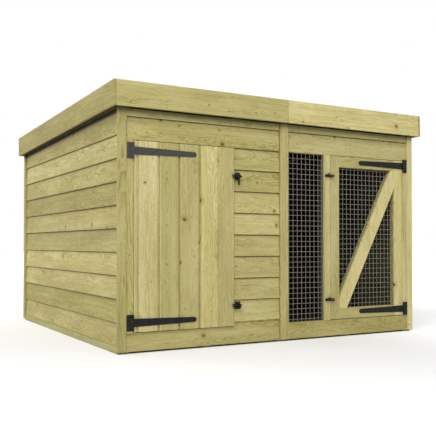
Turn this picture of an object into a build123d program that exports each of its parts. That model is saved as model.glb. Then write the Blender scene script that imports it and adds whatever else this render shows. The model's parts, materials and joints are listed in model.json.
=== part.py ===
"""Timber dog kennel with an attached mesh run, as an assembly of separate pieces.

Millimetres, +Z up. The origin is at ground level under the middle of the roof, the front
faces -Y, the kennel bay is on the left (-X) and the run bay on the right (+X).
"""
import math
import os

from build123d import *

os.makedirs("parts", exist_ok=True)

# Overall size of the walls, over the corner trims
wall_w = 1830.0
wall_d = 1725.0

# Heights above the ground
bearer_h = 32.0
floor_t = 16.0
roof_top_mid = 1237.0
trim_bottom = 8.6
side_clad_bottom = 33.0
front_lap_bottom = 117.4
opening_bottom = 94.0

# Framing timber: width on the wall and depth through it
stud_w = 46.0
stud_t = 33.0
side_stud_count = 5
back_stud_count = 6

# Lapped cladding boards, wedge shaped in section
face_depth = 20.0
board_pitch = 109.0
board_lap = 15.0
board_t_top = 4.0
board_t_bottom = 8.0
lap_clearance = 0.2
board_end_gap = 1.0
post_shadow_gap = 3.0

# Roof
roof_fall = 1.1
overhang = 33.0
fascia_h = 119.0
fascia_t = 12.0
felt_t = 3.0
felt_wall_gap = 2.0
roof_board_t = 16.0
roof_board_w = 120.0
rafter_h = 46.0
rafter_w = 33.0
rafter_count = 5
fascia_joint_x = 4.0
side_fascia_joint = 560.0

# Floor
bearer_w = 38.0
edge_bearer_w = 58.0
edge_bearer_inset = 4.0
bearer_count = 5
floor_board_w = 110.0
floor_gap = 2.0

# Front layout: the kennel bay is set out from the left corner, the run door from the right one
corner_trim_w = 40.0
kennel_jamb_w = 37.0
kennel_door_w = 541.0
divider_left = 899.0
divider_w = 48.5
run_post_w = 40.0
run_door_w = 525.5
run_jamb_w = 39.0

# Doors
door_gap = 2.0
threshold_gap = 3.0
door_board_t = 14.0
door_board_pitch = 108.0
door_lip_w = 13.0
door_lip_t = 7.0
door_first_board = 22.0
ledge_w = 70.0
ledge_t = 20.0
ledge_end_gap = 6.0
ledge_edge_inset = 55.0
kennel_brace_w = 60.0
run_frame_w = 58.5
run_brace_w = 70.0
run_brace_shift = 13.0
batten_t = 18.0
batten_edge_inset = 10.0
stop_w = 20.0
stop_t = 20.0
stop_clearance = 1.0

# Welded mesh
mesh_pitch = 27.5
wire_d = 2.2
weld_gap = 0.05
mesh_seat_gap = 0.05
mesh_overlap = 15.0
panel_mesh_first = (28.0, 28.5)
run_mesh_first = (25.0, 8.5)

# Tee hinges. The insets run from the bottom and the top of the doorways to the two hinges
pin_from_edge = 6.0
hinge_plate_w = 29.0
hinge_plate_h = 75.0
hinge_metal_t = 3.0
knuckle_r = 6.0
knuckle_lift = 0.3
knuckle_gap = 0.3
pin_r = 3.0
pin_fit = 0.05
pin_head_r = 4.2
pin_head_h = 1.5
strap_len = 332.0
strap_root_h = 38.0
strap_tip_h = 24.0
strap_near_screws = 24.0
strap_screw_shares = (0.3, 0.62, 0.93)
plate_screw_share = 0.72
kennel_hinge_insets = (48.0, 51.4)
run_hinge_insets = (39.0, 31.4)

# Screw heads
screw_r = 4.0
screw_top_r = 2.4
screw_h = 1.6

# Bolts, with insets like those of the hinges
bolt_bar_r = 4.0
bolt_bar_fit = 0.08
bolt_axis_out = 9.0
bolt_plate_t = 2.0
bolt_lug_t = 2.5
bolt_lug_reach = 14.5
bolt_tip_out = 1.0
bolt_tail = 9.0
bolt_knob_gap = 1.0
keeper_w = 10.0
keeper_edge_gap = 2.0
keeper_wall = 2.5
keeper_play = 0.6
kennel_bolt_w = 27.0
kennel_bolt_h = 37.0
kennel_bolt_tab = 3.0
kennel_bolt_lug_h = 18.0
kennel_bolt_handle = 44.0
kennel_bolt_knob = 18.0
kennel_bolt_knob_r = 4.5
kennel_bolt_turns = (-60.0, 0.0)
kennel_bolt_insets = (105.0, 144.4)
run_bolt_w = 27.0
run_bolt_h = 14.0
run_bolt_knob = 17.0
run_bolt_knob_r = 3.5
run_bolt_turn = -150.0
run_bolt_tab = 8.0
run_bolt_insets = (111.0, 113.4)

# Inside the kennel
partition_board_t = 12.0
partition_board_w = 110.0
partition_board_gap = 1.0
pop_hole_w = 420.0
pop_hole_h = 640.0
pop_hole_front = 560.0

# Places worked out from the sizes above
x_left = -wall_w / 2
x_right = wall_w / 2
y_front = -wall_d / 2
y_back = wall_d / 2
floor_top = bearer_h + floor_t
stud_face = y_front + face_depth
trim_x0 = x_left + corner_trim_w
trim_x1 = x_right - corner_trim_w
door_x0 = trim_x0 + kennel_jamb_w
door_x1 = door_x0 + kennel_door_w
divider_x0 = x_left + divider_left
divider_x1 = divider_x0 + divider_w
run_x1 = trim_x1 - run_jamb_w
run_x0 = run_x1 - run_door_w
panel_x1 = run_x0 - run_post_w
mesh_t = 2 * wire_d + weld_gap
cover_t = face_depth - mesh_t - 2 * mesh_seat_gap
roof_mid_z = roof_top_mid - fascia_h / 2
roof_turn = Axis((0, 0, roof_mid_z), (1, 0, 0))
wall_top_mid = roof_top_mid - felt_t - roof_board_t - rafter_h
clad_top_mid = roof_top_mid - fascia_h
clad_drop = wall_top_mid - clad_top_mid
front_rows = math.floor((clad_top_mid - front_lap_bottom) / board_pitch) - 1
opening_top = front_lap_bottom + front_rows * board_pitch
board_h = board_pitch + board_lap


def doorway_heights(insets):
    """Heights of a lower and an upper fitting, from their insets in the doorway."""
    return opening_bottom + insets[0], opening_top - insets[1]


kennel_hinge_z = doorway_heights(kennel_hinge_insets)
run_hinge_z = doorway_heights(run_hinge_insets)
kennel_bolt_z = doorway_heights(kennel_bolt_insets)
run_bolt_z = doorway_heights(run_bolt_insets)


def block(x0, x1, y0, y1, z0, z1):
    """A box between two corners."""
    return Pos((x0 + x1) / 2, (y0 + y1) / 2, (z0 + z1) / 2) * Box(x1 - x0, y1 - y0, z1 - z0)


def pitched(shape):
    """Tilt a level roof piece to the fall of the roof."""
    return shape.rotate(roof_turn, -roof_fall)


def under_roof(shape, drop=0.0):
    """Cut the top of an upright piece to the fall of the roof, drop below the rafters."""
    span = wall_w + wall_d
    return shape & pitched(block(-span, span, -span, span, -span, wall_top_mid - drop))


def group(pieces):
    """Separate solids that share one node."""
    solids = []
    for piece in pieces:
        solids.extend(piece.solids())
    return Compound(children=solids)


def write(name, pieces):
    export_step(group(pieces), f"parts/{name}.step")


def spread(first, last, count):
    """Evenly spaced values from first to last."""
    return [first + (last - first) * i / (count - 1) for i in range(count)]


def lap_board(length, bottom):
    """A wedge board along +X: its face looks to -Y and its thin top edge lies on the plane y = 0.

    Its foot stands on the face of the board below.
    """
    foot = foot_front()
    top = bottom + board_h
    corners = ((foot, bottom), (foot + board_t_bottom, bottom), (0, top), (-board_t_top, top))
    return extrude(make_face(Plane.YZ * Polyline(*corners, close=True)), length, dir=(1, 0, 0))


def foot_front():
    """Y of a board's proud lower edge from the stud face, negative because it stands out."""
    share = board_lap / board_h
    return -(board_t_bottom + board_t_top * (1 - share) + lap_clearance) / (1 - share)


def face_depth_at(z):
    """How far the front cladding's face lies behind the door's face at a height."""
    rise = (z - front_lap_bottom) % board_pitch
    foot = foot_front()
    return face_depth + foot - (board_t_top + foot) * rise / board_h


# Floor

def floor_bearers():
    """Timbers from front to back that the whole house stands on."""
    y0 = stud_face
    y1 = y_back - face_depth
    left = x_left + edge_bearer_inset + edge_bearer_w / 2
    widths = [edge_bearer_w] + [bearer_w] * (bearer_count - 2) + [edge_bearer_w]
    centres = spread(left, -left, bearer_count)
    return [block(c - w / 2, c + w / 2, y0, y1, 0, bearer_h) for c, w in zip(centres, widths)]


def floor_boards():
    """Floor boards laid across the bearers."""
    x0 = x_left + face_depth
    x1 = x_right - face_depth
    y = stud_face
    boards = []
    while y < y_back - face_depth - floor_gap:
        y_end = min(y + floor_board_w, y_back - face_depth)
        boards.append(block(x0, x1, y, y_end, bearer_h, floor_top))
        y = y_end + floor_gap
    return boards


# Wall frames

def front_frame():
    """Posts, plates and rails of the front, with the two doorways and the mesh panel opening."""
    y0 = stud_face
    y1 = stud_face + stud_t
    x0 = x_left + face_depth
    x1 = x_right - face_depth
    pieces = [block(x0, x1, y0, y1, floor_top, opening_bottom), top_plate(x0, x1, y0, y1)]
    for left in (x0, *front_posts(), x1 - stud_w):
        pieces.append(stud(left, left + stud_w, y0, y1))
    rail_z = opening_top + threshold_gap
    posts = front_posts()
    for a, b in ((x0 + stud_w, posts[0]), (posts[1] + stud_w, posts[2]), (posts[2] + stud_w, x1 - stud_w)):
        pieces.append(block(a, b, y0, y1, rail_z, rail_z + stud_w))
    return pieces


def front_posts():
    """Left sides of the three posts between the front corners."""
    return (door_x1 + 2 * door_gap, divider_x1 - stud_w, panel_x1)


def top_plate(x0, x1, y0, y1):
    """A top plate that the rafters rest on, planed to the fall of the roof."""
    column = block(x0, x1, y0, y1, opening_bottom, roof_top_mid)
    return under_roof(column) - under_roof(column, stud_w)


def stud(x0, x1, y0, y1, bottom=opening_bottom):
    """An upright from the sole plate to the top plate."""
    return under_roof(block(x0, x1, y0, y1, bottom, roof_top_mid), stud_w)


def side_frame(side):
    """Frame of the left (-1) or right (+1) wall, between the front and back frames."""
    outer = side * (wall_w / 2 - face_depth)
    x0, x1 = sorted((outer, outer - side * stud_t))
    y0 = stud_face + stud_t
    y1 = y_back - face_depth - stud_t
    sole = block(x0, x1, y0, y1, floor_top, opening_bottom)
    studs = [stud(x0, x1, y, y + stud_w) for y in spread(y0, y1 - stud_w, side_stud_count)]
    return [sole, top_plate(x0, x1, y0, y1)] + studs


def back_frame():
    x0 = x_left + face_depth
    x1 = x_right - face_depth
    y1 = y_back - face_depth
    y0 = y1 - stud_t
    sole = block(x0, x1, y0, y1, floor_top, opening_bottom)
    studs = [stud(x, x + stud_w, y0, y1) for x in spread(x0, x1 - stud_w, back_stud_count)]
    return [sole, top_plate(x0, x1, y0, y1)] + studs


# Partition between the kennel and the run

def partition_x():
    """Centre of the partition, behind the divider post."""
    return divider_x1 - stud_w / 2


def partition_frame():
    """Sole, top rail and posts round the pop hole."""
    x0 = partition_x() - stud_t / 2
    x1 = x0 + stud_t
    y0 = stud_face + stud_t
    y1 = y_back - face_depth - stud_t
    hole_y0 = y_front + pop_hole_front
    hole_y1 = hole_y0 + pop_hole_w
    hole_top = opening_bottom + pop_hole_h
    pieces = [
        block(x0, x1, y0, hole_y0, floor_top, opening_bottom),
        block(x0, x1, hole_y1, y1, floor_top, opening_bottom),
        top_plate(x0, x1, y0, y1),
        block(x0, x1, hole_y0, hole_y1, hole_top, hole_top + stud_w),
    ]
    for y in (y0, hole_y0 - stud_w, hole_y1, y1 - stud_w):
        pieces.append(stud(x0, x1, y, y + stud_w))
    return pieces


def partition_boards():
    """Upright boards on the run side of the partition, cut round the pop hole."""
    x0 = partition_x() + stud_t / 2
    x1 = x0 + partition_board_t
    y1 = y_back - face_depth - stud_t
    hole_y0 = y_front + pop_hole_front
    hole_top = opening_bottom + pop_hole_h
    hole = block(x0 - 1, x1 + 1, hole_y0, hole_y0 + pop_hole_w, 0, hole_top)
    boards = []
    y = stud_face + stud_t
    while y < y1 - partition_board_gap:
        y_end = min(y + partition_board_w, y1)
        board = stud(x0, x1, y, y_end, floor_top)
        boards.append(board - hole)
        y = y_end + partition_board_gap
    return boards


# Outer cladding and trims

def front_cladding():
    """Short boards between the kennel door and the divider post. The header laps the top one."""
    x0 = door_x1 + door_gap
    length = divider_x0 - post_shadow_gap - x0
    place = Pos(x0, stud_face, 0)
    return [place * lap_board(length, front_lap_bottom + row * board_pitch) for row in range(front_rows)]


def front_header():
    """Rows of boards over each bay, up to the level of the fascia's lower edge."""
    bays = (
        (trim_x0 + board_end_gap, divider_x0 - post_shadow_gap),
        (divider_x1 + board_end_gap, trim_x1 - board_end_gap),
    )
    boards = []
    for x0, x1 in bays:
        bottom = opening_top
        while bottom + board_lap < clad_top_mid:
            board = Pos(x0, stud_face, 0) * lap_board(x1 - x0, bottom)
            boards.append(under_roof(board, clad_drop))
            bottom += board_pitch
    return boards


def kennel_bottom_board():
    """Lowest board of the kennel bay, notched under the door."""
    x0 = trim_x0 + board_end_gap
    length = divider_x0 - post_shadow_gap - x0
    bottom = front_lap_bottom - board_pitch
    board = Pos(x0, stud_face, 0) * lap_board(length, bottom)
    notch = block(x_left, door_x1 + door_gap, y_front - 1, stud_face + 1, opening_bottom, opening_top)
    return [board - notch]


def run_bottom_board():
    """Flat board below the mesh panel and the run door."""
    front = y_front + board_t_top
    return [block(divider_x1 + board_end_gap, trim_x1 - board_end_gap, front, y_front + cover_t,
                  trim_bottom, opening_bottom)]


def clad_wall(length, place, turn):
    """Rows of a side or back wall, put in place and cut to the fall of the roof."""
    rows = []
    bottom = side_clad_bottom
    while bottom + board_lap < clad_top_mid:
        rows.append(under_roof(place * Rot(0, 0, turn) * lap_board(length, bottom), clad_drop))
        bottom += board_pitch
    return rows


def side_cladding(side):
    """Boards of the left (-1) or right (+1) wall, between the front and back trims."""
    length = wall_d - 2 * (face_depth + board_end_gap)
    place = Pos(side * (wall_w / 2 - face_depth), -side * length / 2, 0)
    return clad_wall(length, place, side * 90)


def back_cladding():
    """Boards of the back wall, between its trims."""
    length = wall_w - 2 * (corner_trim_w + board_end_gap)
    return clad_wall(length, Pos(length / 2, y_back - face_depth, 0), 180)


def corner_trims():
    """Upright trims that cover the side boards' ends: flat ones in front, square ones at the back."""
    trims = []
    for x0 in (x_left, trim_x1):
        for y0, depth in ((y_front, face_depth), (y_back - face_depth, corner_trim_w)):
            trim = block(x0, x0 + corner_trim_w, y0, y0 + depth, trim_bottom, roof_top_mid)
            trims.append(under_roof(trim, clad_drop))
    return trims


def divider_trim():
    """Cover post between the kennel bay and the run bay, rebated over the edge of the mesh."""
    post = block(divider_x0, divider_x1, y_front, stud_face, trim_bottom, roof_top_mid)
    rebate_x = divider_x1 - mesh_overlap - board_end_gap
    rebate = block(rebate_x, x_right, y_front + cover_t, stud_face + 1, 0, roof_top_mid)
    return [under_roof(post - rebate, clad_drop)]


def kennel_jamb():
    """Strip that carries the kennel door's hinge plates."""
    return [block(trim_x0, door_x0, y_front, stud_face, opening_bottom, opening_top)]


def run_jambs():
    """Strips on both sides of the run door."""
    left = block(panel_x1, run_x0, y_front, y_front + cover_t, opening_bottom, opening_top)
    right = block(run_x1, trim_x1, y_front, stud_face, opening_bottom, opening_top)
    return [left, right]


def door_stops():
    """Strips on the posts, behind the edges of the doors."""
    kennel_back = y_front + door_board_t + stop_clearance
    run_back = y_front + cover_t + mesh_t + batten_t
    top = opening_top + threshold_gap
    post = front_posts()[0]
    corner = x_left + face_depth + stud_w
    far_corner = x_right - face_depth - stud_w
    return [
        block(corner, corner + stop_w, stud_face, kennel_back + stop_t, opening_bottom, top),
        block(post - stop_w, post, stud_face, kennel_back + stop_t, opening_bottom, top),
        block(far_corner - stop_w, far_corner, run_back + stop_clearance,
              stud_face + stud_t, opening_bottom, top),
    ]


# Roof

def roof_z():
    """Undersides of the rafters, boards and felt, in the middle of the house."""
    boards = wall_top_mid + rafter_h
    return wall_top_mid, boards, boards + roof_board_t


def roof_joists():
    """Rafters from front to back, and a batten under each side edge."""
    z0, z1, _ = roof_z()
    reach = overhang - fascia_t - felt_t
    y1 = wall_d / 2 + reach
    x_end = wall_w / 2 - face_depth - rafter_w / 2
    pieces = [block(x - rafter_w / 2, x + rafter_w / 2, -y1, y1, z0, z1)
              for x in spread(-x_end, x_end, rafter_count)]
    for side in (-1, 1):
        x0, x1 = sorted((side * wall_w / 2, side * (wall_w / 2 + reach)))
        pieces.append(block(x0, x1, -y1, y1, z0, z1))
    return [pitched(piece) for piece in pieces]


def roof_boards():
    """Boards across the rafters."""
    _, z0, z1 = roof_z()
    reach = overhang - fascia_t - felt_t
    x1 = wall_w / 2 + reach
    y_end = wall_d / 2 + reach
    boards = []
    y = -y_end
    while y < y_end - floor_gap:
        far = min(y + roof_board_w, y_end)
        boards.append(pitched(block(-x1, x1, y, far, z0, z1)))
        y = far + floor_gap
    return boards


def roof_felt():
    """One sheet of mineral felt, turned down over the edges and in under the eaves."""
    z0, _, z1 = roof_z()
    x1 = wall_w / 2 + overhang - fascia_t
    y1 = wall_d / 2 + overhang - fascia_t
    sheet = block(-x1, x1, -y1, y1, z0 - felt_t, z1 + felt_t)
    hollow = block(-x1 + felt_t, x1 - felt_t, -y1 + felt_t, y1 - felt_t, z0, z1)
    x_wall = wall_w / 2 + felt_wall_gap
    y_wall = wall_d / 2 + felt_wall_gap
    walls = block(-x_wall, x_wall, -y_wall, y_wall, z0 - 2 * felt_t, z0)
    return [pitched(sheet - hollow - walls)]


def fascias():
    """The four fascias: side boards run through, front and back boards fit between them."""
    z0 = roof_top_mid - fascia_h
    z1 = roof_top_mid
    x1 = wall_w / 2 + overhang
    y1 = wall_d / 2 + overhang
    x_in = x1 - fascia_t
    y_in = y1 - fascia_t
    joint = -y1 + side_fascia_joint
    front = [block(a, b, -y1, -y_in, z0, z1) for a, b in ((-x_in, fascia_joint_x), (fascia_joint_x, x_in))]
    back = [block(-x_in, x_in, y_in, y1, z0, z1)]
    left = [block(-x1, -x_in, -y1, -joint, z0, z1), block(-x1, -x_in, -joint, y1, z0, z1)]
    right = [block(x_in, x1, -y1, -joint, z0, z1), block(x_in, x1, -joint, y1, z0, z1)]
    return [[pitched(piece) for piece in side] for side in (front, back, left, right)]


# Welded mesh

def weld_mesh(x0, x1, z0, z1, y_back_face, first):
    """Straight round wires, uprights in front and level wires behind, between four limits.

    first is how far the first upright and the lowest level wire lie inside the sheet's edges.
    """
    x_first = x0 + first[0]
    z_first = z0 + first[1]
    across = math.floor((x1 - x_first) / mesh_pitch)
    up = math.floor((z1 - z_first) / mesh_pitch)
    y_level = y_back_face - wire_d / 2
    y_upright = y_level - wire_d - weld_gap
    wires = []
    for i in range(across + 1):
        centre = Pos(x_first + i * mesh_pitch, y_upright, (z0 + z1) / 2)
        wires.append(centre * Cylinder(wire_d / 2, z1 - z0))
    for i in range(up + 1):
        centre = Pos((x0 + x1) / 2, y_level, z_first + i * mesh_pitch)
        wires.append(centre * Rot(0, 90, 0) * Cylinder(wire_d / 2, x1 - x0))
    return wires


def run_panel_mesh():
    """Fixed mesh beside the run door, held between the cover strips and the posts."""
    return weld_mesh(divider_x1 - mesh_overlap, panel_x1 + mesh_overlap,
                     opening_bottom - mesh_overlap, opening_top + mesh_overlap,
                     stud_face - mesh_seat_gap, panel_mesh_first)


# Kennel door

def door_levels():
    """Bottom and top of both doors."""
    return opening_bottom + threshold_gap, opening_top - threshold_gap


def kennel_door_boards():
    """Upright boards, each with a thin lip that the next board laps."""
    x = door_x0 + door_gap
    end = door_x1 - door_gap
    bottom, top = door_levels()
    width = door_first_board
    boards = []
    while x < end - door_gap:
        board_end = min(x + width, end)
        lip_start = board_end - door_lip_w if board_end < end else board_end
        board = block(x, lip_start, y_front, y_front + door_board_t, bottom, top)
        if lip_start < board_end:
            lip_y = y_front + door_board_t - door_lip_t
            board = board + block(lip_start, board_end, lip_y, y_front + door_board_t, bottom, top)
        boards.append(board)
        x = board_end
        width = door_board_pitch
    return boards


def ledge_span():
    """Left and right ends of the ledges behind the kennel door."""
    corner = x_left + face_depth + stud_w + stop_w
    return corner + ledge_end_gap, front_posts()[0] - stop_w - ledge_end_gap


def ledge_levels():
    """Bottoms of the three ledges."""
    bottom, top = door_levels()
    low = bottom + ledge_edge_inset - ledge_w / 2
    high = top - ledge_edge_inset - ledge_w / 2
    return low, (low + high) / 2, high


def kennel_door_ledges():
    """Three level ledges that the boards are fixed to."""
    x0, x1 = ledge_span()
    y0 = y_front + door_board_t
    return [block(x0, x1, y0, y0 + ledge_t, z, z + ledge_w) for z in ledge_levels()]


def brace_strip(x0, x1, z0, z1, width, shift, y0, y1):
    """A diagonal strip from lower x0 to upper x1, cut to fit a rectangular opening."""
    mid_x = (x0 + x1) / 2 + shift
    mid_z = (z0 + z1) / 2
    length = 2 * math.hypot(x1 - x0, z1 - z0)
    angle = math.degrees(math.atan2(z1 - z0, x1 - x0))
    strip = Pos(mid_x, (y0 + y1) / 2, mid_z) * Rot(0, -angle, 0) * Box(length, y1 - y0, width)
    low, high = sorted((x0, x1))
    return strip & block(low, high, y0, y1, z0, z1)


def kennel_door_braces():
    """Two diagonal braces between the ledges, rising from the hinge side."""
    x0, x1 = ledge_span()
    y0 = y_front + door_board_t
    levels = ledge_levels()
    return [brace_strip(x0, x1, low + ledge_w, high, kennel_brace_w, 0, y0, y0 + ledge_t)
            for low, high in zip(levels, levels[1:])]


# Run door

def run_door_frame():
    """Outer limits of the run door and of its opening."""
    x0 = run_x0 + door_gap
    x1 = run_x1 - door_gap
    z0, z1 = door_levels()
    return x0, x1, z0, z1


def run_door_stiles():
    x0, x1, z0, z1 = run_door_frame()
    y1 = y_front + cover_t
    return [block(x, x + run_frame_w, y_front, y1, z0, z1) for x in (x0, x1 - run_frame_w)]


def run_door_rails():
    x0, x1, z0, z1 = run_door_frame()
    y1 = y_front + cover_t
    inner = (x0 + run_frame_w, x1 - run_frame_w)
    return [block(*inner, y_front, y1, z, z + run_frame_w) for z in (z0, z1 - run_frame_w)]


def run_opening():
    """The run door's mesh opening."""
    x0, x1, z0, z1 = run_door_frame()
    return x0 + run_frame_w, x1 - run_frame_w, z0 + run_frame_w, z1 - run_frame_w


def run_door_brace():
    x0, x1, z0, z1 = run_opening()
    return [brace_strip(x0, x1, z0, z1, run_brace_w, run_brace_shift, y_front, y_front + cover_t)]


def run_door_mesh():
    x0, x1, z0, z1 = run_opening()
    return weld_mesh(x0 - mesh_overlap, x1 + mesh_overlap, z0 - mesh_overlap, z1 + mesh_overlap,
                     y_front + cover_t + mesh_seat_gap + mesh_t, run_mesh_first)


def run_door_battens():
    """Back frame and brace that clamp the mesh to the door."""
    x0, x1, z0, z1 = run_door_frame()
    ox0, ox1, oz0, oz1 = run_opening()
    x0 += batten_edge_inset
    x1 -= batten_edge_inset
    y0 = y_front + face_depth
    y1 = y0 + batten_t
    return [
        block(x0, ox0, y0, y1, z0 + batten_edge_inset, z1 - batten_edge_inset),
        block(ox1, x1, y0, y1, z0 + batten_edge_inset, z1 - batten_edge_inset),
        block(ox0, ox1, y0, y1, z0 + batten_edge_inset, oz0),
        block(ox0, ox1, y0, y1, oz1, z1 - batten_edge_inset),
        brace_strip(ox0, ox1, oz0, oz1, run_brace_w, run_brace_shift, y0, y1),
    ]


# Tee hinges, drawn with the pin on the origin and the strap along +X

def mirror_x(shape):
    return shape.mirror(Plane.YZ)


def knuckle(z0, z1):
    """A rolled barrel round the pin."""
    tube = Cylinder(knuckle_r, z1 - z0) - Cylinder(pin_r + pin_fit, z1 - z0 + 2)
    return Pos(0, 0, (z0 + z1) / 2) * tube


def leaf_depth():
    """Front and back faces of the flat metal, from the pin."""
    back = knuckle_r + knuckle_lift
    return back - hinge_metal_t, back


def hinge_plate():
    """Fixed plate with a barrel at its top and bottom."""
    y0, y1 = leaf_depth()
    half = hinge_plate_h / 2
    inner = strap_root_h / 2 + knuckle_gap
    leaf = block(-hinge_plate_w, 0, y0, y1, -half, half)
    clear = knuckle_r + knuckle_lift + knuckle_gap
    leaf = leaf - block(-clear, 1, y0 - 1, y1 + 1, -inner, inner)
    barrels = knuckle(inner, half) + knuckle(-half, -inner)
    return leaf + barrels - hinge_pin(pin_fit)


def hinge_strap():
    """Long tapered strap with the middle barrel."""
    y0, y1 = leaf_depth()
    root = strap_root_h / 2
    tip = strap_tip_h / 2
    end = strap_len - tip
    outline = Polyline((0, -root), (end, -tip), (end, tip), (0, root), close=True)
    leaf = extrude(make_face(Plane.XZ * outline), hinge_metal_t, dir=(0, 1, 0))
    nose = Pos(end, hinge_metal_t / 2, 0) * Rot(90, 0, 0) * Cylinder(tip, hinge_metal_t)
    leaf = Pos(0, y0, 0) * (leaf + nose)
    return (leaf - Cylinder(pin_r + pin_fit, strap_root_h + 2)) + knuckle(-root, root)


def hinge_pin(gap=0.0):
    """Pin with a flat head let into each end of the barrels, or the hole for it with a gap round it."""
    lift = (hinge_plate_h - pin_head_h) / 2
    heads = [Pos(0, 0, z) * Cylinder(pin_head_r + gap, pin_head_h) for z in (-lift, lift)]
    return Cylinder(pin_r + gap, hinge_plate_h) + heads


def screw_head():
    """A low head that sits on a face at y = 0 and points to -Y."""
    return Pos(0, -screw_h / 2, 0) * Rot(90, 0, 0) * Cone(screw_r, screw_top_r, screw_h)


def plate_screws():
    """Three screws down the fixed plate."""
    y0, _ = leaf_depth()
    x = -hinge_plate_w * plate_screw_share
    step = hinge_plate_h / 2 - 3 * screw_r
    return [Pos(x, y0, z) * screw_head() for z in (-step, 0, step)]


def strap_screws():
    """Two screws near the barrel and three along the strap."""
    y0, _ = leaf_depth()
    side = strap_root_h / 4
    places = [(strap_near_screws, side), (strap_near_screws, -side)]
    places += [(strap_len * share, 0) for share in strap_screw_shares]
    return [Pos(x, y0, z) * screw_head() for x, z in places]


def hinge_place(x, z):
    """Pin position of a hinge on the front face."""
    return Pos(x, y_front - leaf_depth()[1], z)


kennel_pin_x = door_x0 - pin_from_edge
run_pin_x = run_x1 + pin_from_edge


def kennel_hinge(part):
    return [hinge_place(kennel_pin_x, z) * part() for z in kennel_hinge_z]


def run_hinge(part):
    return [hinge_place(run_pin_x, z) * mirror_x(part()) for z in run_hinge_z]


def kennel_hinge_screws(part):
    return [hinge_place(kennel_pin_x, z) * screw for z in kennel_hinge_z for screw in part()]


def run_hinge_screws(part):
    return [hinge_place(run_pin_x, z) * mirror_x(screw) for z in run_hinge_z for screw in part()]


# Bolts as they are when withdrawn, with the bar's free end at -X and the door's face at y = 0

def bolt_bracket(width, height, lug_h, tab):
    """Back plate with two lugs that guide the bar, and a tab beyond the second one."""
    half = height / 2
    bracket = block(0, width + tab, -bolt_plate_t, 0, -half, half)
    for x in (0, width - bolt_lug_t):
        bracket = bracket + block(x, x + bolt_lug_t, -bolt_lug_reach, 0, -lug_h / 2, lug_h / 2)
    hole = Rot(0, 90, 0) * Cylinder(bolt_bar_r + bolt_bar_fit, 4 * width)
    return bracket - Pos(0, -bolt_axis_out, 0) * hole


def bolt_bar(width, knob_len, knob_r, knob_turn):
    """Round bar with its knob between the lugs. The knob hangs down at a turn of 0."""
    length = bolt_tip_out + width + bolt_tail
    bar = Pos(length / 2 - bolt_tip_out, 0, 0) * Rot(0, 90, 0) * Cylinder(bolt_bar_r, length)
    knob_x = width - bolt_lug_t - bolt_knob_gap - knob_r
    knob = Pos(0, 0, -knob_len / 2) * Cylinder(knob_r, knob_len)
    return Pos(0, -bolt_axis_out, 0) * (bar + Pos(knob_x, 0, 0) * Rot(knob_turn, 0, 0) * knob)


def bolt_keeper():
    """Bridge on the door that the bar shoots into."""
    inner = bolt_bar_r + keeper_play
    outer = inner + keeper_wall
    bridge = block(-keeper_w / 2, keeper_w / 2, -bolt_axis_out - outer, 0, -outer, outer)
    return bridge - block(-keeper_w, keeper_w, -bolt_axis_out - inner, 1, -inner, inner)


def kennel_bolt(part, z):
    return Pos(door_x1 + door_gap, y_front, z) * part


def run_bolt(part, z):
    return Pos(run_x0 - door_gap, y_front, z) * mirror_x(part)


def kennel_bolt_pads():
    """Packing on the cladding that brings the kennel bolts level with the door."""
    half = kennel_bolt_h / 2
    depth = min(face_depth_at(z - half) for z in kennel_bolt_z) - lap_clearance
    pad = block(0, kennel_bolt_w + kennel_bolt_tab, 0, depth, -half, half)
    return [kennel_bolt(pad, z) for z in kennel_bolt_z]


def kennel_bolt_brackets():
    bracket = bolt_bracket(kennel_bolt_w, kennel_bolt_h, kennel_bolt_lug_h, kennel_bolt_tab)
    return [kennel_bolt(bracket, z) for z in kennel_bolt_z]


def run_bolt_brackets():
    bracket = bolt_bracket(run_bolt_w, run_bolt_h, run_bolt_h, run_bolt_tab)
    return [run_bolt(bracket, z) for z in run_bolt_z]


def bracket_screws():
    """Screws above and below the bar of a kennel bolt, and in the tab of a run bolt."""
    side = kennel_bolt_h / 2 - screw_r
    screws = [kennel_bolt(Pos(kennel_bolt_w / 2, -bolt_plate_t, dz) * screw_head(), z)
              for z in kennel_bolt_z for dz in (-side, side)]
    tab_x = run_bolt_w + run_bolt_tab / 2
    screws += [run_bolt(Pos(tab_x, -bolt_plate_t, 0) * screw_head(), z) for z in run_bolt_z]
    return screws


def keepers(side):
    """Keepers on the kennel door (-1) or the run door (+1)."""
    reach = door_gap + keeper_edge_gap + keeper_w / 2
    edge, heights = (door_x1, kennel_bolt_z) if side < 0 else (run_x0, run_bolt_z)
    return [Pos(edge + side * reach, y_front, z) * bolt_keeper() for z in heights]


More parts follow.
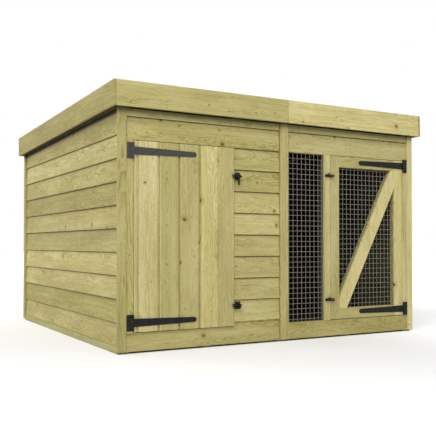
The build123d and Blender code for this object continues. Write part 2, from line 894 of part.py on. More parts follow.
if __name__ == "__main__":
    front_fascia, back_fascia, left_fascia, right_fascia = fascias()
    kennel_low, kennel_high = kennel_bolt_z
    run_low, run_high = run_bolt_z

    write("floor_bearers", floor_bearers())
    write("floor_boards", floor_boards())
    write("front_frame", front_frame())
    write("left_frame", side_frame(-1))
    write("right_frame", side_frame(1))
    write("back_frame", back_frame())
    write("partition_frame", partition_frame())
    write("partition_boards", partition_boards())
    write("front_cladding", front_cladding())
    write("front_header_boards", front_header())
    write("kennel_bottom_board", kennel_bottom_board())
    write("run_bottom_board", run_bottom_board())
    write("left_cladding", side_cladding(-1))
    write("right_cladding", side_cladding(1))
    write("back_cladding", back_cladding())
    write("corner_trims", corner_trims())
    write("divider_trim", divider_trim())
    write("kennel_jamb", kennel_jamb())
    write("run_jambs", run_jambs())
    write("door_stops", door_stops())
    write("run_panel_mesh", run_panel_mesh())

    write("roof_joists", roof_joists())
    write("roof_boards", roof_boards())
    write("roof_felt", roof_felt())
    write("front_fascia", front_fascia)
    write("back_fascia", back_fascia)
    write("left_fascia", left_fascia)
    write("right_fascia", right_fascia)

    write("kennel_door_boards", kennel_door_boards())
    write("kennel_door_ledges", kennel_door_ledges())
    write("kennel_door_braces", kennel_door_braces())
    write("run_door_stiles", run_door_stiles())
    write("run_door_rails", run_door_rails())
    write("run_door_brace", run_door_brace())
    write("run_door_mesh", run_door_mesh())
    write("run_door_battens", run_door_battens())

    write("kennel_hinge_plates", kennel_hinge(hinge_plate))
    write("kennel_hinge_pins", kennel_hinge(hinge_pin))
    write("kennel_hinge_straps", kennel_hinge(hinge_strap))
    write("run_hinge_plates", run_hinge(hinge_plate))
    write("run_hinge_pins", run_hinge(hinge_pin))
    write("run_hinge_straps", run_hinge(hinge_strap))
    write("hinge_plate_screws", kennel_hinge_screws(plate_screws) + run_hinge_screws(plate_screws))
    write("kennel_strap_screws", kennel_hinge_screws(strap_screws))
    write("run_strap_screws", run_hinge_screws(strap_screws))

    hanging = bolt_bar(kennel_bolt_w, kennel_bolt_handle, kennel_bolt_knob_r, kennel_bolt_turns[1])
    forward = bolt_bar(kennel_bolt_w, kennel_bolt_knob, kennel_bolt_knob_r, kennel_bolt_turns[0])
    raised = bolt_bar(run_bolt_w, run_bolt_knob, run_bolt_knob_r, run_bolt_turn)
    write("kennel_bolt_pads", kennel_bolt_pads())
    write("kennel_bolt_brackets", kennel_bolt_brackets())
    write("kennel_upper_bolt_bar", [kennel_bolt(hanging, kennel_high)])
    write("kennel_lower_bolt_bar", [kennel_bolt(forward, kennel_low)])
    write("kennel_bolt_keepers", keepers(-1))
    write("run_bolt_brackets", run_bolt_brackets())
    write("run_upper_bolt_bar", [run_bolt(raised, run_high)])
    write("run_lower_bolt_bar", [run_bolt(raised, run_low)])
    write("run_bolt_keepers", keepers(1))
    write("bolt_screws", bracket_screws())
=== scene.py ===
"""Looks of the timber dog kennel with a mesh run. Metres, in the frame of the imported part."""

import json
import math

import bpy
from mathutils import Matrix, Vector

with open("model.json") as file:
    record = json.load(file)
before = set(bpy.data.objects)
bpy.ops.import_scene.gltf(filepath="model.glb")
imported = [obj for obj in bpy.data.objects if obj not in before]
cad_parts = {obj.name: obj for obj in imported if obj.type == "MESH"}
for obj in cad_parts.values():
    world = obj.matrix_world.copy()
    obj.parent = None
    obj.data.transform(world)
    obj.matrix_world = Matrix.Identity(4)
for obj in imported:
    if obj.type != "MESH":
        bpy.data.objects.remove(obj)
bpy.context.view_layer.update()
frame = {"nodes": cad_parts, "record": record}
nodes = frame["nodes"]


# Sizes, read from the frame where it tells them

def local_box(name):
    """Least and greatest corner of a node's mesh, in its own coordinates."""
    corners = list(nodes[name].bound_box)
    return [Vector([pick(corner[i] for corner in corners) for i in range(3)]) for pick in (min, max)]


wall_x = local_box("corner_trims")[1].x
wall_y = -local_box("corner_trims")[0].y
front_lap = local_box("front_cladding")[0].z
side_lap = local_box("left_cladding")[0].z
floor_top = local_box("floor_boards")[1].z
fascia_x = local_box("front_fascia")[1].x
fascia_y = -local_box("front_fascia")[0].y
door_x = local_box("kennel_door_boards")[0].x

BOARD_PITCH = 0.109
FLOOR_PITCH = 0.112
PARTITION_PITCH = 0.111
DOOR_PITCH = 0.108
DOOR_FIRST_BOARD = 0.022
FACE_DEPTH = 0.020
STUD_T = 0.033
TRIM_W = 0.040
TRIM_MARGIN = 0.03
BAY = 2.0
FASCIA_JOINT_X = 0.004
SIDE_FASCIA_JOINT = 0.560
FRONT_POST_DEPTH = 0.036
RUN_START_X = 0.030
FRAME_FACE = 0.84
BEARER_FACE = 0.89
JOIST_FACE = 0.4
PARTITION_FACE = 0.038
ROOF_SLOPE = 0.0192
EAVES_SHADOW = (1.090, 1.112)

# A length that covers the whole house, its half, and the stretch of an axis that the shades cover
WHOLE = 20.0
HALF = WHOLE / 2
AXIS_START = -1.0
AXIS_LENGTH = 2.4


# Shader helpers

def srgb(code):
    """Linear colour from a six-figure code."""
    parts = [int(code[i:i + 2], 16) / 255 for i in (0, 2, 4)]
    return tuple(c / 12.92 if c <= 0.04045 else ((c + 0.055) / 1.055) ** 2.4 for c in parts) + (1.0,)


class Graph:
    """A material's node tree, built by small calls that return sockets."""

    def __init__(self, name):
        self.mat = bpy.data.materials.new(name)
        self.mat.use_nodes = True
        self.tree = self.mat.node_tree
        self.tree.nodes.clear()
        coords = self.add("ShaderNodeTexCoord")
        self.point = coords.outputs["Object"]
        self.normal = coords.outputs["Normal"]

    def add(self, kind, **attrs):
        node = self.tree.nodes.new(kind)
        for key, value in attrs.items():
            setattr(node, key, value)
        return node

    def feed(self, socket, value):
        if isinstance(value, bpy.types.NodeSocket):
            self.tree.links.new(value, socket)
        else:
            socket.default_value = value

    def math(self, operation, a, b=0.0, clamp=False):
        node = self.add("ShaderNodeMath", operation=operation, use_clamp=clamp)
        self.feed(node.inputs[0], a)
        self.feed(node.inputs[1], b)
        return node.outputs[0]

    def plus(self, first, *others):
        for other in others:
            first = self.math("ADD", first, other)
        return first

    def minus(self, a, b):
        return self.math("SUBTRACT", a, b)

    def times(self, first, *others):
        for other in others:
            first = self.math("MULTIPLY", first, other)
        return first

    def over(self, a, b):
        return self.math("DIVIDE", a, b)

    def swing(self, value, weight):
        """A value from 0 to 1, centred on nought and weighted."""
        return self.times(self.minus(value, 0.5), weight)

    def combine(self, x, y, z):
        node = self.add("ShaderNodeCombineXYZ")
        for socket, value in zip(node.inputs, (x, y, z)):
            self.feed(socket, value)
        return node.outputs[0]

    def split(self, vector):
        node = self.add("ShaderNodeSeparateXYZ")
        self.feed(node.inputs[0], vector)
        return list(node.outputs)

    def noise(self, vector, scale=1.0, detail=2.0, rough=0.5, distortion=0.0):
        node = self.add("ShaderNodeTexNoise")
        self.feed(node.inputs["Vector"], vector)
        node.inputs["Scale"].default_value = scale
        node.inputs["Detail"].default_value = detail
        node.inputs["Roughness"].default_value = rough
        node.inputs["Distortion"].default_value = distortion
        return node.outputs["Fac"]

    def white(self, vector):
        """Three random values for each whole-numbered point."""
        node = self.add("ShaderNodeTexWhiteNoise", noise_dimensions="3D")
        self.feed(node.inputs["Vector"], vector)
        return self.split(node.outputs["Color"])

    def remap(self, value, a, b, c=0.0, d=1.0):
        """Ease from c to d while the value runs from a to b."""
        node = self.add("ShaderNodeMapRange", interpolation_type="SMOOTHSTEP")
        for socket, item in zip(node.inputs, (value, a, b, c, d)):
            self.feed(socket, item)
        return node.outputs[0]

    def mix(self, factor, a, b, blend="MIX"):
        node = self.add("ShaderNodeMix", data_type="RGBA", blend_type=blend)
        self.feed(node.inputs[0], factor)
        self.feed(node.inputs[6], a)
        self.feed(node.inputs[7], b)
        return node.outputs[2]

    def tint(self, color, factor, code):
        """The colour, multiplied by the code's as far as the factor says."""
        return self.mix(factor, color, self.mix(1.0, color, srgb(code), "MULTIPLY"))

    def ramp(self, value, stops, interpolation="LINEAR"):
        node = self.add("ShaderNodeValToRGB")
        self.feed(node.inputs[0], value)
        ramp = node.color_ramp
        ramp.interpolation = interpolation
        while len(ramp.elements) < len(stops):
            ramp.elements.new(0.5)
        for element, (position, color) in zip(ramp.elements, stops):
            element.position = position
            element.color = color
        return node.outputs[0]

    def finish(self, color, rough, height, bump, relief, metallic=0.0, specular=0.5):
        shader = self.add("ShaderNodeBsdfPrincipled")
        self.feed(shader.inputs["Base Color"], color)
        self.feed(shader.inputs["Roughness"], rough)
        shader.inputs["Metallic"].default_value = metallic
        shader.inputs["Specular IOR Level"].default_value = specular
        node = self.add("ShaderNodeBump")
        node.inputs["Strength"].default_value = bump
        node.inputs["Distance"].default_value = relief
        self.feed(node.inputs["Height"], height)
        self.feed(shader.inputs["Normal"], node.outputs[0])
        out = self.add("ShaderNodeOutputMaterial")
        self.feed(out.inputs[0], shader.outputs[0])
        return self.mat


# Shade of each board

# Six shades, each a brightness and the strength of its blue. The brightest is painted light, used
# on pieces towards the right end of the front.
SHADES = {"deep": (0.82, 0.90), "dull": (0.92, 0.94), "plain": (1.0, 1.0), "fresh": (1.1, 1.05),
          "light": (1.2, 1.05), "painted_light": (1.3, 1.05)}


def rows(first, pitch, shades):
    """Bands of one pitch each. The first shade also covers all that lies before the first line."""
    names = shades.split()
    return [(AXIS_START, names[0])] + [(first + pitch * i, shade) for i, shade in enumerate(names[1:])]


# The shades were chosen one by one against the photograph. A slot has the axis that tells
# its boards apart, and where each shade starts along it. Slots not named here are plain.
BOARDS = {
    "cladding": ("Z", rows(front_lap + BOARD_PITCH, BOARD_PITCH,
                           "fresh plain plain plain fresh fresh dull dull plain")),
    "bottom_boards": ("X", [(AXIS_START, "dull")]),
    "side_cladding": ("Z", rows(side_lap + BOARD_PITCH, BOARD_PITCH,
                                "fresh dull fresh light dull plain deep plain fresh plain")),
    # Painted light: the trims right of 0.6 and the right fascia are lighter, standing for light that grows
    # towards the right end of the front.
    "trims": ("X", [(AXIS_START, "deep"), (TRIM_W - wall_x, "dull"), (-0.5, "plain"), (0.15, "fresh"),
                    (0.6, "light"), (wall_x - TRIM_W, "painted_light")]),
    "fascia": ("X", [(AXIS_START, "dull"), (FASCIA_JOINT_X, "painted_light")]),
    # Painted shade: the side fascia is darker than the front one, set together with the far_side lamp.
    "side_fascia": ("Y", [(AXIS_START, "deep")]),
    "door_boards": ("X", rows(door_x + DOOR_FIRST_BOARD + DOOR_PITCH, DOOR_PITCH,
                              "fresh dull dull light dull")),
    # Painted light: the right door stile and the brace are lighter, for the same light towards the right end
    # of the front.
    "door_stiles": ("X", [(AXIS_START, "plain"), (0.6, "painted_light")]),
    "door_brace": ("X", [(AXIS_START, "painted_light")]),
}


# Timber

# Colours of early wood, of the wood between and of late wood
OUTSIDE = ("CFC592", "BBB177", "9F9359")
DOOR_BACK = ("C6BD8E", "B2A976", "958958")
INDOORS = ("BDB386", "A99F70", "897D51")
BEARER = ("BDB98A", "AAA674", "8A8657")
FLOORING = ("B5AC82", "A1976C", "82774E")

# How far apart two boards' patterns and knots may be taken from
PATTERN_SHIFT = 41.0
KNOT_SHIFT = 23.0
SECOND_DRAW = (17.3, 5.1)

# Where back pieces that run from side to side count as standing, left of the middle
BACK_PLACE = 5.0

# Growth rings: their width, the least depth of the core that they go round, and the ranges over
# which it lies deeper, lies aside (in board widths), bends and sways
RING = 0.006
CORE_LEAST = 0.012
CORE_DEPTH = 0.05
CORE_ASIDE = 1.3
WIDEST_BOARD = 0.12
CORE_BEND = 0.05
CORE_SWAY = 0.075

# Knots: places per metre, radii, and how far and how much they bend the grain. The edge and the
# halo are in knot radii, from outside to inside.
KNOT_CELLS = 9.0
KNOT_LEAST = 0.0018
KNOT_SPREAD = 0.0085
KNOT_REACH = 0.055
KNOT_PUSH = 2.1
KNOT_EDGE = (1.0, 0.82)
KNOT_HALO = (3.4, 0.9)
KNOT_COLORS = ((0.0, srgb("7F6C3C")), (0.45, srgb("75622F")), (0.8, srgb("4E4020")), (1.0, srgb("65542C")))

# Noises that make up the tone: per metre along and across the grain, octaves, roughness, distortion,
# weight. The first three differ from board to board.
BOARD_NOISES = {"streak": (1.6, 60.0, 3.0, 0.60, 0.0, 0.45), "blotch": (2.5, 9.0, 3.0, 0.55, 0.0, 0.95),
                "swirl": (9.0, 42.0, 3.0, 0.60, 1.3, 0.75)}
FLECK = (34.0, 130.0, 4.0, 0.70, 0.0, 0.50)
FIBRE = (14.0, 520.0, 3.0, 0.65, 0.0, 0.30)
MIDDLE_TONE = 0.36
LATE_WEIGHT = 0.62
BOARD_WEIGHT = 0.186

# Tints, and the shadows under a lap and under the eaves. A lap's shadow starts and is full at
# shares of the board's cover.
WARM = "FFF0C8"
TREATED = "E6F2C4"
HALO = "D2BE8C"
LAP_SHADE = "2A2416"
LAP_SOFT = (0.90, 0.98)
LAP_SHARP = (0.955, 0.985)
EAVES_SHADE = "1C1810"


class Timber(Graph):
    """Wood whose boards are told apart.

    grain and depth are axes: along the boards, and square to their faces. face is how far the
    faces lie from the middle of the house. cell is the size of the box that holds one board,
    and start is a corner of such a box. With whole_back the back pieces run from side to side.
    """

    def __init__(self, name, grain, depth, face, cell, start, whole_back):
        super().__init__(name)
        self.axes = dict(zip("XYZ", self.split(self.point)))
        across = ({"X", "Y", "Z"} - {grain, depth}).pop()
        self.depth_axis = "XYZ".index(depth)
        self.u, self.v, self.d = self.axes[grain], self.axes[across], self.axes[depth]
        self.lift = self.minus(self.math("ABSOLUTE", self.d), face)

        self.place = dict(self.axes)
        if whole_back:
            back = self.math("GREATER_THAN", self.axes["Y"], 0.0)
            move = self.times(back, self.plus(self.axes["X"], BACK_PLACE))
            self.place["X"] = self.minus(self.axes["X"], move)
        board = [self.math("FLOOR", self.over(self.minus(self.place[axis], start[i]), cell[i]))
                 for i, axis in enumerate("XYZ")]
        self.slide, self.turn, self.core = self.white(self.combine(*board))
        moved = [self.plus(place, step) for place, step in zip(board, SECOND_DRAW)]
        self.side, self.level, self.warmth = self.white(self.combine(*moved, board[2]))
        self.shift = self.times(self.slide, PATTERN_SHIFT)

        index = "XYZ".index(across)
        self.width = cell[index]
        middle = self.times(self.plus(board[index], 0.5), self.width)
        self.from_middle = self.minus(self.minus(self.v, start[index]), middle)

    def stretched(self, along, across, third, detail, rough=0.5, distortion=0.0):
        """Noise drawn out along the grain, different on each board."""
        u = self.plus(self.times(self.u, along), self.shift)
        return self.noise(self.combine(u, self.times(self.v, across), third), 1.0, detail, rough, distortion)

    def layer(self, along, across, detail, rough, distortion, shifted):
        """One of the noises that make up the tone."""
        u = self.times(self.u, along)
        if shifted:
            u = self.plus(u, self.shift)
        point = self.combine(u, self.times(self.v, across), self.times(self.d, across))
        return self.noise(point, 1.0, detail, rough, distortion)

    def knots(self, share):
        """Distance in knot radii, the knot and its halo as factors, and how far it pushes the rings."""
        across = self.plus(self.v, self.times(self.turn, KNOT_SHIFT))
        spot = self.combine(self.plus(self.u, self.shift), across, 0.0)
        uneven = self.combine(self.times(self.u, 40.0), self.times(self.v, 40.0), self.shift)
        wobble = self.noise(uneven, 1.0, 1.0)
        cells = self.add("ShaderNodeTexVoronoi", voronoi_dimensions="2D")
        self.feed(cells.inputs["Vector"], spot)
        cells.inputs["Scale"].default_value = KNOT_CELLS
        near = self.times(self.over(cells.outputs["Distance"], KNOT_CELLS),
                          self.plus(0.75, self.times(wobble, 0.5)))
        chance, size, _ = self.split(cells.outputs["Color"])
        has = self.math("LESS_THAN", chance, share)
        radius = self.plus(KNOT_LEAST, self.times(self.math("POWER", size, 3.0), KNOT_SPREAD))
        radius = self.times(radius, has)
        radii = self.over(near, self.math("MAXIMUM", radius, 0.0001))
        knot = self.remap(radii, *KNOT_EDGE)
        halo = self.times(self.remap(radii, *KNOT_HALO), has)
        push = self.times(self.remap(near, KNOT_REACH, 0.0), has, radius, KNOT_PUSH)
        return radii, knot, halo, push

    def late_wood(self, wild, push):
        """Late wood of the rings round a core that lies behind the face and runs slightly askew."""
        bend = self.stretched(1.3, 5.0, self.times(self.turn, 30.0), 2.0)
        askew = self.combine(self.plus(self.times(self.u, 0.7), self.shift), 3.0, self.core)
        sway = self.noise(askew, 1.0, 1.0)
        warp = self.stretched(6.0, 15.0, self.times(self.core, 9.0), 3.0, 0.55, 0.8)
        aside = self.plus(self.from_middle,
                          self.swing(self.side, min(self.width, WIDEST_BOARD) * CORE_ASIDE),
                          self.swing(bend, CORE_BEND))
        behind = self.plus(self.times(self.core, CORE_DEPTH), CORE_LEAST, self.swing(sway, CORE_SWAY),
                           self.lift)
        away = self.math("SQRT", self.plus(self.times(aside, aside), self.times(behind, behind)))
        rings = self.over(self.plus(away, self.swing(warp, wild), push), RING)
        phase = self.math("FRACT", rings)
        strength = self.white(self.combine(self.math("FLOOR", rings), self.slide, self.turn))[0]
        return self.times(self.remap(phase, 0.25, 0.9), self.remap(phase, 1.0, 0.92),
                          self.plus(0.15, self.times(strength, 0.85)))

    def tone(self, shade, late, fibre):
        """Where the wood lies between its lightest and its darkest colour."""
        total = self.plus(MIDDLE_TONE + shade, self.swing(self.level, BOARD_WEIGHT))
        for *layer, weight in BOARD_NOISES.values():
            total = self.plus(total, self.swing(self.layer(*layer, shifted=True), weight))
        *layer, weight = FLECK
        total = self.plus(total, self.swing(self.layer(*layer, shifted=False), weight))
        total = self.plus(total, self.times(late, LATE_WEIGHT))
        return self.math("ADD", total, self.swing(fibre, FIBRE[-1]), clamp=True)

    def board_shades(self, color, axis, bands):
        """Lighten or darken each board by its shade."""
        stops = []
        for first, shade in bands:
            level, blue = SHADES[shade]
            stops.append(((first - AXIS_START) / AXIS_LENGTH, (level, level, level * blue, 1.0)))
        along = self.over(self.minus(self.place[axis], AXIS_START), AXIS_LENGTH)
        return self.mix(1.0, color, self.ramp(along, stops, "CONSTANT"), "MULTIPLY")

    def lap_lines(self, color, first_lap):
        """The shadow under each lap, soft above and sharp at the edge."""
        rise = self.math("FRACT", self.over(self.minus(self.axes["Z"], first_lap), BOARD_PITCH))
        soft = self.times(self.remap(rise, *LAP_SOFT), 0.30)
        sharp = self.times(self.remap(rise, *LAP_SHARP), 0.60)
        return self.mix(self.plus(soft, sharp), color, srgb(LAP_SHADE))

    def eaves_shadow(self, color, strength):
        """The dark under the fascias, along the slope of the roof."""
        rise = self.plus(self.axes["Z"], self.times(self.axes["Y"], ROOF_SLOPE))
        return self.mix(self.times(self.remap(rise, *EAVES_SHADOW), strength), color, srgb(EAVES_SHADE))

    def facing_in(self):
        """One on faces that look to the middle of the house, else nought."""
        outward = self.times(self.split(self.normal)[self.depth_axis], self.math("SIGN", self.d))
        return self.math("LESS_THAN", outward, -0.3)


def timber(name, grain, depth, face, cell, start, palette=OUTSIDE, shade=0.0, knots=0.35, green=0.0,
           wild=0.045, whole_back=False, first_lap=None, eaves=0.0, shadow=None, front=None, inside=None):
    """Sawn, pressure treated softwood.

    A greater shade makes the colour darker. knots is the share of places that have one, green the
    strength of the treatment, and wild how far the rings stray. first_lap is the height of a lap line,
    and eaves paints the shadow of the eaves on the tops of the walls. shadow paints shade on what
    stands in the run, and inside paints it on the faces that look into it, because the run is near
    black in daylight. The kennel keeps the natural timber. front is the colour of the foremost frame.
    """
    g = Timber(name, grain, depth, face, cell, start, whole_back)
    radii, knot, halo, push = g.knots(knots)
    late = g.late_wood(wild, push)
    fibre = g.layer(*FIBRE[:-1], shifted=False)
    light, mid, dark = (srgb(code) for code in palette)
    color = g.ramp(g.tone(shade, late, fibre), ((0.0, light), (0.5, mid), (1.0, dark)))
    color = g.tint(color, g.times(g.warmth, 0.2), WARM)
    color = g.tint(color, g.math("ADD", green, g.swing(g.turn, 0.25), clamp=True), TREATED)
    color = g.tint(color, g.times(halo, 0.55), HALO)
    color = g.mix(knot, color, g.ramp(radii, KNOT_COLORS))
    if name in BOARDS:
        color = g.board_shades(color, *BOARDS[name])
    if first_lap is not None:
        color = g.lap_lines(color, first_lap)
    if eaves:
        color = g.eaves_shadow(color, eaves)
    # Painted shade inside the run: what stands in it, and the faces that look into it, are darkened below.
    in_run = g.math("GREATER_THAN", g.axes["X"], RUN_START_X)
    if shadow:
        color = g.tint(color, in_run, shadow)
    if front:
        foremost = g.math("LESS_THAN", g.axes["Y"], FRONT_POST_DEPTH - wall_y)
        color = g.mix(g.times(foremost, 0.5), color, srgb(front))
    if inside:
        color = g.tint(color, g.times(g.facing_in(), in_run, 0.75), inside)
    rough = g.remap(fibre, 0.2, 0.8, 0.62, 0.86)
    height = g.plus(g.minus(g.times(fibre, 0.6), g.times(late, 0.5)), g.times(knot, 0.6))
    return g.finish(color, rough, height, bump=0.35, relief=0.0006, specular=0.25)


wall_face = wall_y - FACE_DEPTH
# Painted shade for the run, whose inside is near black in daylight: the inner faces of its walls, its frame
# and floor, and its partition are darkened towards these colours.
RUN_WALL_SHADE = "2A241B"
RUN_FRAME_SHADE = "5A5444"
RUN_PARTITION_SHADE = "4E493B"
materials = {
    "cladding": timber(
        "cladding", "X", "Y", wall_face, (BAY, WHOLE, BOARD_PITCH),
        (-BAY, -HALF, front_lap - 11 * BOARD_PITCH), whole_back=True, first_lap=front_lap, eaves=0.5,
        inside=RUN_WALL_SHADE),
    "bottom_boards": timber(
        "bottom_boards", "X", "Y", wall_face, (BAY, WHOLE, BOARD_PITCH),
        (-BAY, -HALF, front_lap - BOARD_PITCH), inside=RUN_WALL_SHADE),
    # Painted shade: shade=0.2 darkens all the side boards, set together with the far_side lamp.
    "side_cladding": timber(
        "side_cladding", "Y", "X", wall_x - FACE_DEPTH, (HALF, WHOLE, BOARD_PITCH),
        (-HALF, -HALF, side_lap - 10 * BOARD_PITCH), shade=0.2, knots=0.15, first_lap=side_lap, eaves=0.93,
        inside=RUN_WALL_SHADE),
    "trims": timber(
        "trims", "Z", "Y", wall_y, (TRIM_MARGIN + TRIM_W, HALF, WHOLE),
        (-wall_x - TRIM_MARGIN, -HALF, -HALF), wild=0.015, eaves=0.6),
    "fascia": timber(
        "fascia", "X", "Y", fascia_y, (1.2, HALF, WHOLE), (FASCIA_JOINT_X, -HALF, -HALF),
        knots=0.6, whole_back=True),
    # Painted shade: shade=0.3 darkens the side fascias, set together with the far_side lamp.
    "side_fascia": timber(
        "side_fascia", "Y", "X", fascia_x, (HALF, 1.4, WHOLE), (-HALF, SIDE_FASCIA_JOINT - fascia_y, -HALF),
        shade=0.3),
    "door_boards": timber(
        "door_boards", "Z", "Y", wall_y, (DOOR_PITCH, WHOLE, WHOLE),
        (door_x + DOOR_FIRST_BOARD - 10 * DOOR_PITCH, -HALF, -HALF), knots=0.3),
    "door_stiles": timber("door_stiles", "Z", "Y", wall_y, (0.2, WHOLE, WHOLE), (0.3, -HALF, -HALF)),
    "door_rails": timber("door_rails", "X", "Y", wall_y, (WHOLE, WHOLE, 0.4), (-HALF, -HALF, 0.0)),
    "door_brace": timber(
        "door_brace", "Z", "Y", wall_y, (WHOLE, WHOLE, WHOLE), (-HALF, -HALF, -HALF), shade=-0.15),
    "door_backs": timber(
        "door_backs", "Z", "Y", FRAME_FACE, (0.3, WHOLE, WHOLE), (-0.9, -HALF, -HALF), palette=DOOR_BACK),
    "framing": timber(
        "framing", "Z", "Y", FRAME_FACE, (0.3, 0.3, WHOLE), (-0.9, -0.9, -HALF), palette=INDOORS,
        eaves=0.7, shadow=RUN_FRAME_SHADE, front="8A8D78"),
    "joists": timber(
        "joists", "Y", "X", JOIST_FACE, (0.3, WHOLE, WHOLE), (-0.9, -HALF, -HALF), palette=INDOORS,
        eaves=0.7, shadow=RUN_FRAME_SHADE),
    "bearers": timber(
        "bearers", "Y", "X", BEARER_FACE, (0.3, WHOLE, WHOLE), (-0.95, -HALF, -HALF), palette=BEARER,
        green=0.25),
    "deck_boards": timber(
        "deck_boards", "X", "Z", floor_top, (WHOLE, FLOOR_PITCH, HALF), (-HALF, -wall_face, -HALF),
        palette=FLOORING, shadow=RUN_FRAME_SHADE),
    "partition_boards": timber(
        "partition_boards", "Z", "X", PARTITION_FACE, (WHOLE, PARTITION_PITCH, WHOLE),
        (-HALF, STUD_T - wall_face, -HALF),
        palette=FLOORING, shadow=RUN_PARTITION_SHADE),
}


# Metal and felt

def wire_metal():
    """Galvanised wire, dull, with a slightly uneven zinc bloom."""
    g = Graph("wire")
    cloud = g.noise(g.point, 160.0, 4.0, 0.6)
    color = g.ramp(cloud, ((0.3, srgb("8D8B81")), (0.7, srgb("B1AFA5"))))
    rough = g.remap(cloud, 0.3, 0.7, 0.42, 0.62)
    return g.finish(color, rough, g.noise(g.point, 900.0), bump=0.2, relief=0.0002, metallic=0.55)


def black_metal(name, tone, rough, sheen=0.0):
    """Black japanned steel: a thin uneven coat over pressed metal.

    sheen is a painted reflection: it lightens the upper pieces on the left towards grey.
    """
    g = Graph(name)
    coat = g.noise(g.point, 240.0, 4.0, 0.6)
    scuff = g.noise(g.point, 38.0, 5.0, 0.7)
    color = g.ramp(scuff, ((0.35, srgb(tone)), (0.62, srgb("242423")), (0.78, srgb("3A3938"))))
    x, _, z = g.split(g.point)
    # Painted reflection: the upper pieces on the left are lightened, as if they caught the light.
    dull = g.times(g.math("LESS_THAN", x, -0.45), g.math("GREATER_THAN", z, 0.5))
    color = g.mix(g.times(dull, sheen), color, srgb("6A6966"))
    height = g.plus(coat, g.times(scuff, 0.5))
    rough = g.remap(scuff, 0.3, 0.7, rough, rough + 0.18)
    return g.finish(color, rough, height, bump=0.25, relief=0.0003, specular=0.22)


def mineral_felt():
    """Dark grey roofing felt with stone chips pressed into it."""
    g = Graph("felt")
    chips = g.add("ShaderNodeTexVoronoi", feature="F1")
    g.feed(chips.inputs["Vector"], g.point)
    chips.inputs["Scale"].default_value = 420.0
    tone = g.split(chips.outputs["Color"])[0]
    worn = g.noise(g.point, 6.0, 4.0, 0.6)
    color = g.ramp(tone, ((0.0, srgb("25282A")), (0.55, srgb("363938")), (1.0, srgb("5B5E5A"))))
    color = g.mix(g.remap(worn, 0.35, 0.7, 0.0, 0.45), color, srgb("2B3130"))
    height = g.times(chips.outputs["Distance"], -1.0)
    return g.finish(color, 0.92, height, bump=0.6, relief=0.0008, specular=0.3)


materials["wire"] = wire_metal()
materials["felt"] = mineral_felt()
materials["hinge_metal"] = black_metal("hinge_metal", "101011", rough=0.48, sheen=0.36)
materials["bolt_metal"] = black_metal("bolt_metal", "131314", rough=0.36)
materials["screws"] = black_metal("screws", "161617", rough=0.40, sheen=0.4)


# Materials and broken edges of the pieces

TIMBER_EDGE = 0.0016
EDGES = {"wire": 0.0, "felt": 0.0008, "screws": 0.0003, "hinge_metal": 0.0005, "bolt_metal": 0.0004}


def soften(obj, radius):
    """Join the mesh's loose faces and break its sharp edges."""
    weld = obj.modifiers.new("Weld", "WELD")
    weld.merge_threshold = 0.00001
    bevel = obj.modifiers.new("Bevel", "BEVEL")
    bevel.width = radius
    bevel.segments = 2
    bevel.limit_method = "ANGLE"
    bevel.angle_limit = math.radians(35)
    bevel.use_clamp_overlap = True
    bevel.harden_normals = False


slots = {item["node"]: item["material_slot"] for item in frame["record"]["subparts"]}
for name, obj in nodes.items():
    obj.data.materials.clear()
    obj.data.materials.append(materials[slots[name]])
    radius = EDGES.get(slots[name], TIMBER_EDGE)
    if radius:
        soften(obj, radius)


# Floor, light and camera

# The glow of the floor, with how it grows to the right, behind and far away. Under the house it stops.
FLOOR_HALF = 40.0
UNDER_X = wall_x - 0.003
UNDER_Y = wall_y - 0.0005
FLOOR_WHITE = (0.80, 0.80, 0.80, 1.0)
GLOW = 0.19
GLOW_RIGHT = (0.3, 1.0, 0.0, 0.19)
GLOW_BEHIND = (-0.4, 1.2, 0.0, 0.13)
GLOW_FAR = (1.6, 4.5, 0.0, 0.36)
AMBIENT = 0.62
CAMERA_PLACE = (-2.0683, -3.8346, 0.5026)
CAMERA_TURN = (90.98, 0.0, -29.43)
CAMERA_LENS = 57.12
CAMERA_SHIFT = 0.0339


def stage_floor():
    """White floor with a soft shadow. It glows a little for the camera, so that it meets the white
    background, but not under the house, where the gap below the walls stays dark."""
    mesh = bpy.data.meshes.new("floor")
    corners = [(x * FLOOR_HALF, y * FLOOR_HALF, 0) for x, y in ((-1, -1), (1, -1), (1, 1), (-1, 1))]
    mesh.from_pydata(corners, [], [(0, 1, 2, 3)])
    floor = bpy.data.objects.new("floor", mesh)
    bpy.context.scene.collection.objects.link(floor)
    g = Graph("floor")
    x, y, _ = g.split(g.point)
    beside = g.math("GREATER_THAN", g.math("ABSOLUTE", x), UNDER_X)
    ahead = g.math("GREATER_THAN", g.math("ABSOLUTE", y), UNDER_Y)
    away = g.math("SQRT", g.plus(g.times(x, x), g.times(y, y)))
    glow = g.plus(GLOW, g.remap(x, *GLOW_RIGHT), g.remap(y, *GLOW_BEHIND), g.remap(away, *GLOW_FAR))
    glow = g.times(glow, g.math("MAXIMUM", beside, ahead))
    diffuse = g.add("ShaderNodeBsdfDiffuse")
    diffuse.inputs[0].default_value = FLOOR_WHITE
    emission = g.add("ShaderNodeEmission")
    camera_ray = g.add("ShaderNodeLightPath").outputs["Is Camera Ray"]
    g.feed(emission.inputs["Strength"], g.times(camera_ray, glow))
    total = g.add("ShaderNodeAddShader")
    g.feed(total.inputs[0], diffuse.outputs[0])
    g.feed(total.inputs[1], emission.outputs[0])
    out = g.add("ShaderNodeOutputMaterial")
    g.feed(out.inputs[0], total.outputs[0])
    mesh.materials.append(g.mat)


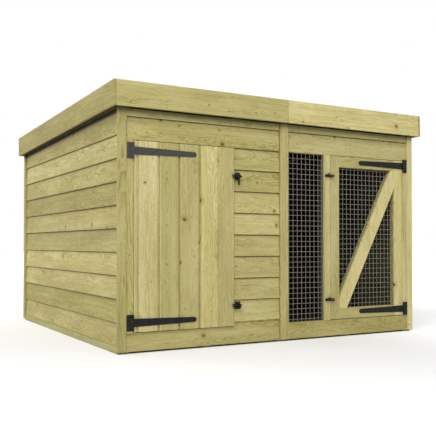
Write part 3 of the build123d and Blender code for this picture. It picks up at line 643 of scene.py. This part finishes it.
def white_world():
    """A white surround that lights the object evenly and shows as plain white."""
    world = bpy.data.worlds.new("studio")
    bpy.context.scene.world = world
    world.use_nodes = True
    tree = world.node_tree
    tree.nodes.clear()
    path = tree.nodes.new("ShaderNodeLightPath")
    seen = path.outputs["Is Camera Ray"]
    for kind in ("Is Glossy Ray", "Is Transmission Ray"):
        either = tree.nodes.new("ShaderNodeMath")
        either.operation = "MAXIMUM"
        tree.links.new(seen, either.inputs[0])
        tree.links.new(path.outputs[kind], either.inputs[1])
        seen = either.outputs[0]
    level = tree.nodes.new("ShaderNodeMapRange")
    level.inputs["To Min"].default_value = AMBIENT
    level.inputs["To Max"].default_value = 1.0
    tree.links.new(seen, level.inputs["Value"])
    sky = tree.nodes.new("ShaderNodeBackground")
    sky.inputs["Color"].default_value = (1.0, 1.0, 1.0, 1.0)
    tree.links.new(level.outputs[0], sky.inputs["Strength"])
    out = tree.nodes.new("ShaderNodeOutputWorld")
    tree.links.new(sky.outputs[0], out.inputs[0])


def area_light(name, place, target, size, power):
    lamp = bpy.data.lights.new(name, "AREA")
    lamp.shape = "DISK"
    lamp.size = size
    lamp.energy = power
    obj = bpy.data.objects.new(name, lamp)
    obj.location = place
    obj.rotation_euler = (Vector(target) - Vector(place)).to_track_quat("-Z", "Y").to_euler()
    bpy.context.scene.collection.objects.link(obj)


def photo_camera():
    """The photograph's view, with the eye half a metre above the ground."""
    data = bpy.data.cameras.new("camera")
    data.sensor_width = 36.0
    data.lens = CAMERA_LENS
    data.shift_y = CAMERA_SHIFT
    data.clip_end = 200.0
    camera = bpy.data.objects.new("camera", data)
    camera.location = CAMERA_PLACE
    camera.rotation_euler = [math.radians(angle) for angle in CAMERA_TURN]
    bpy.context.scene.collection.objects.link(camera)
    bpy.context.scene.camera = camera


stage_floor()
white_world()
area_light("key", place=(-3.2, -4.2, 5.0), target=(0.0, -0.3, 0.5), size=3.5, power=210.0)
area_light("far_side", place=(-4.2, 3.8, 1.8), target=(-0.9, 0.9, 0.6), size=2.0, power=66.0)
photo_camera()
bpy.context.scene.view_settings.view_transform = "Standard"
